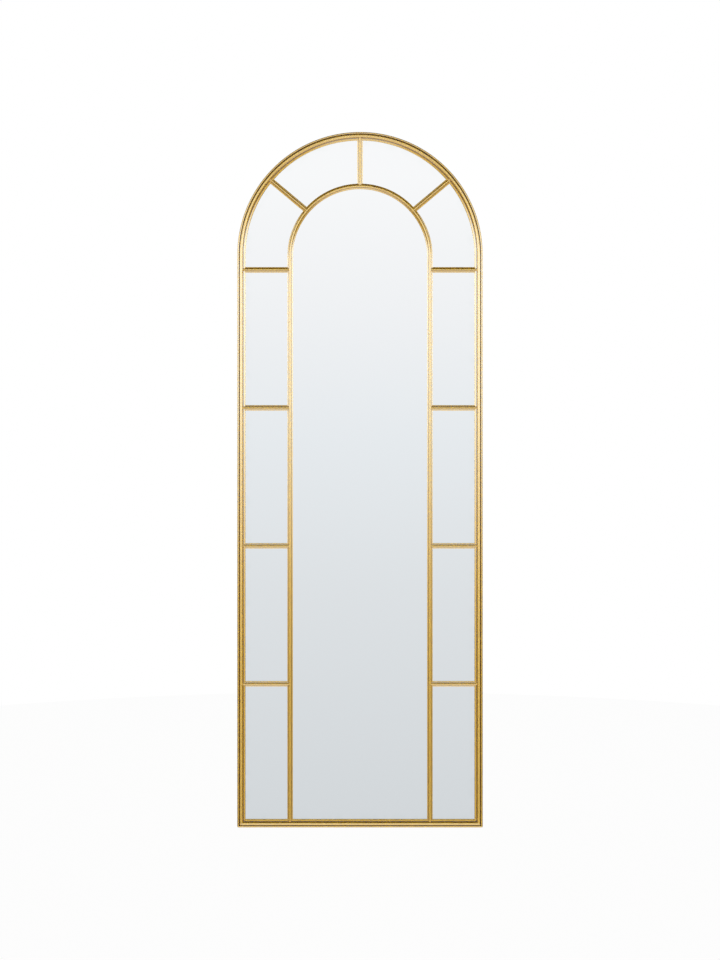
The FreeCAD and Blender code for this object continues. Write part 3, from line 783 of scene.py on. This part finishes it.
def metal_with_painted_light_group():
    """Mottled metal with a fine sprayed skin, paler on the crests (rubbed wear and painted highlight) and
    darker amber to brown towards the grooves (patina and painted shade).
    """
    group, given, result = node_group(
        "aged metal with painted light",
        {"NodeSocketVector": ["Vector"], "NodeSocketFloat": ["Relief", "Roughness", "Metallic"],
         "NodeSocketColor": ["Metal", "Rubbed and highlit", "Deep shade", "Patina and shade"]},
        {"NodeSocketColor": ["Color"], "NodeSocketFloat": ["Roughness", "Metallic", "Lacquer", "Height"]})
    tree = Tree(group)
    clouds = tree.noise(given["Vector"], *METAL_CLOUDS)
    grain = tree.noise(given["Vector"], *METAL_GRAIN)
    # Painted shade: the sheltered flanks of the grooves turn a darker amber
    flank = tree.ranged(given["Relief"], *FLANK_RELIEF)
    # Patina and painted shade: the sheltered grooves turn dark brown
    groove = tree.ranged(given["Relief"], *GROOVE_RELIEF)
    groove = tree.product(groove, tree.ranged(clouds, *GROOVE_PATCHES))
    # Rubbed wear and painted highlight: the crests turn a paler gold
    crest = tree.ranged(given["Relief"], *CREST_RELIEF)
    crest = tree.product(crest, tree.ranged(clouds, *CREST_PATCHES))
    tone = tree.mixed(tree.ranged(clouds, *RUBBED_PATCHES), given["Metal"], given["Rubbed and highlit"])
    tone = tree.mixed(crest, tone, given["Rubbed and highlit"])
    tone = tree.mixed(flank, tone, given["Deep shade"])
    wear = tree.maths("ADD", given["Roughness"], tree.ranged(grain, *ROUGHNESS_CHANGE))
    tree.feed(result["Color"], tree.mixed(groove, tone, given["Patina and shade"]))
    tree.feed(result["Roughness"], tree.maths("MULTIPLY_ADD", groove, GROOVE_ROUGHNESS, wear))
    tree.feed(result["Metallic"], tree.product(given["Metallic"], tree.ranged(grain, *FLAKE_CHANGE)))
    tree.feed(result["Lacquer"], tree.maths("MULTIPLY_ADD", groove, -GROOVE_LACQUER_LOSS, 1.0))
    tree.feed(result["Height"], grain)
    return group


def fleck_group():
    """Two tones mixed by stretched fibres and small flecks."""
    group, given, result = node_group(
        "flecks",
        {"NodeSocketVector": ["Vector"], "NodeSocketFloat": ["Scale"],
         "NodeSocketColor": ["Ground", "Fleck"]},
        {"NodeSocketColor": ["Color"], "NodeSocketFloat": ["Mask"]})
    tree = Tree(group)
    stretched = tree.add("ShaderNodeMapping", {"Vector": given["Vector"], "Scale": FIBRE_STRETCH})
    fibres = tree.noise(stretched.outputs["Vector"], given["Scale"], FIBRE_DETAIL, FIBRE_FALL)
    broad = tree.noise(given["Vector"], *BROAD_PATCHES)
    mask = tree.product(tree.ranged(fibres, *FLECK_EDGE), tree.ranged(broad, *FLECK_PATCHES))
    tree.feed(result["Color"], tree.mixed(mask, given["Ground"], given["Fleck"]))
    tree.feed(result["Mask"], mask)
    return group


def shared_group(name, make):
    """Return a node group by name, made on first use."""
    return bpy.data.node_groups.get(name) or make()


def new_material(name):
    """Return a new material with its tree, shader and object coordinates."""
    material = bpy.data.materials.new(name)
    material.use_nodes = True
    tree = Tree(material.node_tree)
    place = tree.nodes.new("ShaderNodeTexCoord").outputs["Object"]
    return material, tree, tree.find("BSDF_PRINCIPLED"), place


def add_bump(tree, shader, height, distance, strength):
    """Feed a height to the shader's normal."""
    bump = tree.add("ShaderNodeBump", {"Height": height, "Distance": distance, "Strength": strength})
    tree.feed(shader.inputs["Normal"], bump.outputs["Normal"])


def metal_material(name, lacquered, given):
    """Return an aged metal with painted shade and highlight taken from a piece's relief, and its shader."""
    material, tree, shader, place = new_material(name)
    relief = tree.nodes.new("ShaderNodeAttribute")
    relief.attribute_name = "relief"
    metal = tree.effect(shared_group("aged metal with painted light", metal_with_painted_light_group),
                        {"Vector": place, "Relief": relief.outputs["Fac"], **given})
    tree.feed_all(shader, {"Base Color": metal["Color"], "Roughness": metal["Roughness"],
                           "Metallic": metal["Metallic"]})
    if lacquered:
        tree.feed(shader.inputs["Coat Weight"], metal["Lacquer"])
    add_bump(tree, shader, metal["Height"], SKIN_DEPTH, SKIN_STRENGTH)
    return material, shader


def gold_material(finishes):
    """Return the lacquered gold paint, made once for every gold piece."""
    name = "gold paint"
    made = bpy.data.materials.get(name)
    if made:
        return made
    # The rubbed, amber and patina colours paint highlight on the crests and shade towards the grooves
    material, shader = metal_material(name, True, {
        "Metal": finishes.gold, "Rubbed and highlit": finishes.gold_rubbed_and_highlit, "Deep shade": finishes.gold_amber_shade,
        "Patina and shade": finishes.patina_and_shade, "Roughness": finishes.gold_roughness, "Metallic": finishes.gold_flake})
    shader.inputs["Coat Roughness"].default_value = finishes.lacquer_roughness
    shader.inputs["Coat IOR"].default_value = finishes.lacquer_index
    return material


def zinc_material(finishes):
    """Return the zinc plate of the screws."""
    material, _ = metal_material("zinc plate", False, {
        "Metal": finishes.zinc_stain, "Rubbed and highlit": finishes.zinc, "Deep shade": finishes.zinc_stain,
        "Patina and shade": finishes.zinc_stain, "Roughness": finishes.zinc_roughness, "Metallic": 1.0})
    return material


def mirror_material(finishes, sizes):
    """Return silvered glass that dulls a little along its edges.

    The distance to the edge is the least of two: the outer half width less |x|, or less the distance
    from the arch centre above the springing line, and the height over the bottom edge. The dulling
    fades over a band beside the frame that is as wide as its face.
    """
    material, tree, shader, place = new_material("silvered glass")
    split = tree.add("ShaderNodeSeparateXYZ", {"Vector": place}).outputs
    rise = tree.maths("MAXIMUM", tree.maths("SUBTRACT", split["Z"], SPRING), 0.0)
    across = tree.product(split["X"], split["X"])
    away = tree.maths("SQRT", tree.maths("MULTIPLY_ADD", rise, rise, across))
    side_gap = tree.maths("SUBTRACT", HALF, away)
    foot_gap = tree.maths("SUBTRACT", split["Z"], FLOOR)
    gap = tree.maths("MINIMUM", side_gap, foot_gap)
    near = tree.ranged(gap, sizes.frame_face, 2 * sizes.frame_face, finishes.silver_wear, 0.0)
    dulled = tree.product(near, tree.ranged(tree.noise(place, *EDGE_SPOTS), *SPOT_EDGE))
    tone = tree.mixed(dulled, finishes.silver, finishes.silver_edge)
    rough = tree.maths("MULTIPLY_ADD", dulled, finishes.wear_roughness, finishes.silver_roughness)
    tree.feed_all(shader, {"Base Color": tone, "Roughness": rough, "Metallic": 1.0})
    return material


def flecked_material(name, ground, fleck, scale, roughness, bump):
    """Return a matt material with fibres or flecks of a second tone."""
    material, tree, shader, place = new_material(name)
    flecks = tree.effect(shared_group("flecks", fleck_group),
                         {"Vector": place, "Ground": ground, "Fleck": fleck, "Scale": scale})
    rough = tree.maths("MULTIPLY_ADD", flecks["Mask"], FLECK_ROUGHNESS, roughness)
    tree.feed_all(shader, {"Base Color": flecks["Color"], "Roughness": rough})
    add_bump(tree, shader, flecks["Mask"], bump, FLECK_STRENGTH)
    return material


def dress(node, material):
    """Give a node of the frame its finish."""
    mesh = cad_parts[node].data
    mesh.materials.clear()
    mesh.materials.append(material)


def add_floor(studio):
    """Lay a round white floor that keeps soft shadows and that polished pieces don't see.

    To the camera, a share of the floor glows plain white and the rest is lit and takes the shadow.
    """
    turn = np.linspace(0, 2 * np.pi, FLOOR_SIDES, endpoint=False)
    level = np.full_like(turn, FLOOR - studio.floor_drop)
    rim = np.stack([studio.floor_radius * np.cos(turn), studio.floor_radius * np.sin(turn), level], axis=1)
    mesh = bpy.data.meshes.new("floor")
    mesh.from_pydata(rim.tolist(), [], [list(range(FLOOR_SIDES))])
    floor = bpy.data.objects.new("floor", mesh)
    bpy.context.scene.collection.objects.link(floor)
    floor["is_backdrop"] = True
    floor.visible_glossy = False
    material, tree, shader, _ = new_material("pale floor")
    tree.feed_all(shader, {"Base Color": WHITE, "Roughness": studio.floor_roughness})
    glow = tree.add("ShaderNodeEmission", {"Color": WHITE, "Strength": 1.0})
    seen = tree.nodes.new("ShaderNodeLightPath").outputs["Is Camera Ray"]
    blend = tree.add("ShaderNodeMixShader", {"Fac": tree.product(seen, studio.floor_glow)})
    tree.links.new(shader.outputs["BSDF"], blend.inputs[1])
    tree.links.new(glow.outputs["Emission"], blend.inputs[2])
    tree.links.new(blend.outputs["Shader"], tree.find("OUTPUT_MATERIAL").inputs["Surface"])
    mesh.materials.append(material)


def add_lamp(studio):
    """Hang one large soft lamp over the mirror, unseen by polished pieces."""
    lamp = bpy.data.lights.new("overhead lamp", "AREA")
    lamp.size = studio.lamp_size
    lamp.energy = studio.lamp_power
    holder = bpy.data.objects.new("overhead lamp", lamp)
    holder.location = (0, 0, TOP + studio.lamp_height)
    holder.visible_glossy = False
    bpy.context.scene.collection.objects.link(holder)


def add_world():
    """Make a white backdrop for the camera and a soft studio for light and reflections.

    Polished pieces see, by direction: a pale front that greys downwards to a bright strip low down,
    sides that are bright above the level of the eye and dark just below it, dimmer sides further
    round, a pale back, a soft box over the front with a dark gap under it, and a dark ceiling.
    Matt pieces are lit mostly from ahead and behind by the world, and hardly from above.
    """
    world = bpy.data.worlds.new("studio")
    bpy.context.scene.world = world
    world.use_nodes = True
    world.cycles.sampling_method = "NONE"
    tree = Tree(world.node_tree)
    direction = tree.nodes.new("ShaderNodeTexCoord").outputs["Generated"]
    x, y, z = tree.add("ShaderNodeSeparateXYZ", {"Vector": direction}).outputs
    forward = tree.product(y, -1.0)
    aside = tree.maths("ABSOLUTE", x)
    front = tree.ranged(aside, *FRONT_WIDTH)
    seen = tree.mixed(front, tree.ramp(z, SIDE_TONES), tree.ramp(z, FRONT_TONES))
    far = tree.product(tree.ranged(forward, *FAR_TURN), tree.ranged(z, *FAR_RISE))
    seen = tree.mixed(far, seen, tree.ramp(z, FAR_TONES))
    seen = tree.mixed(tree.ranged(forward, *BACK_TURN), seen, BACK_TONE)
    above = tree.product(tree.ranged(z, *FRONT_BOX_RISE), tree.ranged(forward, *FRONT_BOX_TURN))
    seen = tree.mixed(above, seen, FRONT_BOX_TONE)
    seen = tree.mixed(tree.ranged(z, *CEILING_RISE), seen, CEILING_TONE)
    depth = tree.maths("ABSOLUTE", y)
    lit = tree.mixed(tree.ranged(depth, *MATT_AHEAD_DEPTH), ROOM_TONE, AHEAD_TONE)
    lit = tree.mixed(tree.ranged(z, *MATT_CEILING_RISE), lit, CEILING_TONE)
    path = tree.nodes.new("ShaderNodeLightPath").outputs
    polished = tree.maths("MAXIMUM", path["Is Glossy Ray"], path["Is Transmission Ray"])
    seen = tree.mixed(polished, lit, seen)
    tree.feed(tree.find("BACKGROUND").inputs["Color"], tree.mixed(path["Is Camera Ray"], seen, WHITE))


def add_camera(studio):
    """Stand the camera square-on to the middle of the mirror, at a distance that gives its perspective."""
    lens = bpy.data.cameras.new("camera")
    lens.sensor_fit = "VERTICAL"
    lens.lens = lens.sensor_height * studio.camera_distance / studio.picture_height
    camera = bpy.data.objects.new("camera", lens)
    camera.location = (0, -SEAT - studio.camera_distance, (TOP + FLOOR) / 2 - studio.picture_drop)
    camera.rotation_euler = (np.pi / 2, 0, 0)
    bpy.context.scene.collection.objects.link(camera)
    bpy.context.scene.camera = camera


class MIRROR_OT_frame(bpy.types.Operator):
    """Sweep the frame moulding over the arch and along the bottom, mitred at the corners"""
    bl_idname = "mirror.frame"
    bl_label = "Frame mouldings"

    def execute(self, context):
        sizes, finishes, _ = settings(context)
        loop, relief = section(frame_loop(sizes), LOOP_POINTS, sizes)
        inset, height = loop.T
        gold = gold_material(finishes)
        arch = rounded_corners(arch_grid(HALF - inset, height, FLOOR + inset, SPRING), sizes.corner_radius)
        add_piece("arch_moulding", [arch], gold, ["outer_arch_rail"], relief)
        left = np.stack([inset - HALF, -height, FLOOR + inset], axis=1)
        right = left * (-1, 1, 1)
        bottom = rounded_corners(straight_grid(left, right), sizes.corner_radius)
        add_piece("bottom_moulding", [bottom], gold, ["bottom_rail"], relief)
        return {"FINISHED"}


class MIRROR_OT_arch_bar(bpy.types.Operator):
    """Sweep the inner arch bar, with both feet coped to the bottom rail"""
    bl_idname = "mirror.arch_bar"
    bl_label = "Inner arch bar"

    def execute(self, context):
        sizes, finishes, _ = settings(context)
        loop, relief = section(bar_loop(arch_bar_face(sizes)), BAR_POINTS, sizes)
        across, height = loop.T
        foot = FLOOR + frame_inset(height, sizes)
        grid = arch_grid(arch_bar_radius(sizes) + across, height, foot, BEND)
        gold = gold_material(finishes)
        add_piece("arch_bar_moulding", [grid], gold, ["inner_arch_bar"], relief)
        return {"FINISHED"}


class MIRROR_OT_short_bars(bpy.types.Operator):
    """Sweep the crossbars and the fan bars, coped at both ends"""
    bl_idname = "mirror.short_bars"
    bl_label = "Crossbars and fan bars"

    def execute(self, context):
        sizes, finishes, _ = settings(context)
        gold = gold_material(finishes)
        loop, relief = section(bar_loop(short_bar_face(sizes)), BAR_POINTS, sizes)
        for node, (start, end) in short_bar_rings(loop, sizes):
            add_piece(node + "_moulding", [straight_grid(start, end)], gold, [node], relief)
        return {"FINISHED"}


class MIRROR_OT_bar_welds(bpy.types.Operator):
    """Lay a thin weld along the joint line at both ends of each short bar"""
    bl_idname = "mirror.bar_welds"
    bl_label = "Bar welds"

    def execute(self, context):
        sizes, finishes, _ = settings(context)
        face = bar_loop(short_bar_face(sizes))
        paths = [path for _, rings in short_bar_rings(face, sizes) for path in rings]
        grids = [weld_grid(path, sizes.weld, seed) for seed, path in enumerate(paths)]
        add_piece("bar_welds", grids, gold_material(finishes))
        return {"FINISHED"}


class MIRROR_OT_back_welds(bpy.types.Operator):
    """Lay a weld along the root of each retaining tab and hanger bracket"""
    bl_idname = "mirror.back_welds"
    bl_label = "Tab and bracket welds"

    def execute(self, context):
        sizes, finishes, _ = settings(context)
        wall = HALF - sizes.frame_wall
        paths = []
        for x, z, turn in tab_roots(sizes, wall):
            along = np.array((-np.sin(turn), 0, np.cos(turn))) * sizes.tab_width / 2
            middle = np.array((x, -TAB_BACK, z))
            paths.append(np.stack([middle - along, middle + along]))
        for node in BRACKETS:
            low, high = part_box(node)
            x = wall * np.sign(low.x + high.x)
            paths.append(np.array([(x, low.y, low.z), (x, low.y, high.z)]))
        grids = [weld_grid(path, sizes.tab_weld, seed) for seed, path in enumerate(paths)]
        add_piece("back_welds", grids, gold_material(finishes))
        return {"FINISHED"}


class MIRROR_OT_screws(bpy.types.Operator):
    """Turn the tab screws, with a domed head and a cross recess"""
    bl_idname = "mirror.screws"
    bl_label = "Tab screws"

    def execute(self, context):
        sizes, finishes, _ = settings(context)
        crown = SPRING + HALF - sizes.frame_wall - sizes.screw_inset
        foot = FLOOR + sizes.frame_wall + sizes.screw_inset
        places = [(0.0, crown), (-sizes.tab_bottom_offset, foot), (sizes.tab_bottom_offset, foot)]
        grids = [screw_grid(x, z, sizes) for x, z in places]
        add_piece("tab_screw_heads", grids, zinc_material(finishes), ["tab_screws"])
        return {"FINISHED"}


class MIRROR_OT_finishes(bpy.types.Operator):
    """Finish the glass, tapes, board, tabs and brackets"""
    bl_idname = "mirror.finishes"
    bl_label = "Glass, board and hardware finishes"

    def execute(self, context):
        sizes, finishes, _ = settings(context)
        dress("mirror_glass", mirror_material(finishes, sizes))
        dress("backing_board", flecked_material(
            "fibreboard", finishes.board, finishes.board_fibre, *BOARD_TEXTURE))
        dress("glazing_tape", flecked_material(
            "black foam", finishes.tape, finishes.tape_fleck, *TAPE_TEXTURE))
        dress("mounting_tape", flecked_material(
            "white foam", finishes.foam, finishes.foam_fleck, *FOAM_TEXTURE))
        for node in ("retaining_tabs", *BRACKETS):
            dress(node, gold_material(finishes))
        return {"FINISHED"}


class MIRROR_OT_studio(bpy.types.Operator):
    """Set the floor, the light and the camera"""
    bl_idname = "mirror.studio"
    bl_label = "Studio"

    def execute(self, context):
        _, _, studio = settings(context)
        add_floor(studio)
        add_lamp(studio)
        add_world()
        add_camera(studio)
        context.scene.view_settings.view_transform = "Standard"
        return {"FINISHED"}


OPERATORS = (
    MIRROR_OT_frame,
    MIRROR_OT_arch_bar,
    MIRROR_OT_short_bars,
    MIRROR_OT_bar_welds,
    MIRROR_OT_back_welds,
    MIRROR_OT_screws,
    MIRROR_OT_finishes,
    MIRROR_OT_studio,
)


class MIRROR_PT_panel(bpy.types.Panel):
    """Sidebar panel that lists the operators"""
    bl_idname = "MIRROR_PT_panel"
    bl_label = "Arched wall mirror"
    bl_space_type = "VIEW_3D"
    bl_region_type = "UI"
    bl_category = "Mirror"

    def draw(self, context):
        for operator in OPERATORS:
            self.layout.operator(operator.bl_idname)


CLASSES = (MirrorMouldings, MirrorFinishes, MirrorStudio, *OPERATORS, MIRROR_PT_panel)


def register():
    """Register the classes and hang the settings on the scene."""
    for item in CLASSES:
        bpy.utils.register_class(item)
    bpy.types.Scene.mirror_mouldings = bpy.props.PointerProperty(type=MirrorMouldings)
    bpy.types.Scene.mirror_finishes = bpy.props.PointerProperty(type=MirrorFinishes)
    bpy.types.Scene.mirror_studio = bpy.props.PointerProperty(type=MirrorStudio)


def unregister():
    """Take the settings and the classes away again."""
    del bpy.types.Scene.mirror_mouldings
    del bpy.types.Scene.mirror_finishes
    del bpy.types.Scene.mirror_studio
    for item in reversed(CLASSES):
        bpy.utils.unregister_class(item)


def main():
    """Build every piece in order."""
    register()
    bpy.ops.mirror.frame()
    bpy.ops.mirror.arch_bar()
    bpy.ops.mirror.short_bars()
    bpy.ops.mirror.bar_welds()
    bpy.ops.mirror.back_welds()
    bpy.ops.mirror.screws()
    bpy.ops.mirror.finishes()
    bpy.ops.mirror.studio()
    boxes = {"cad": CAD_BOX, "visual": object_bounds()}
    plain = {name: [list(corner) for corner in box] for name, box in boxes.items()}


if __name__ == "__main__":
    main()
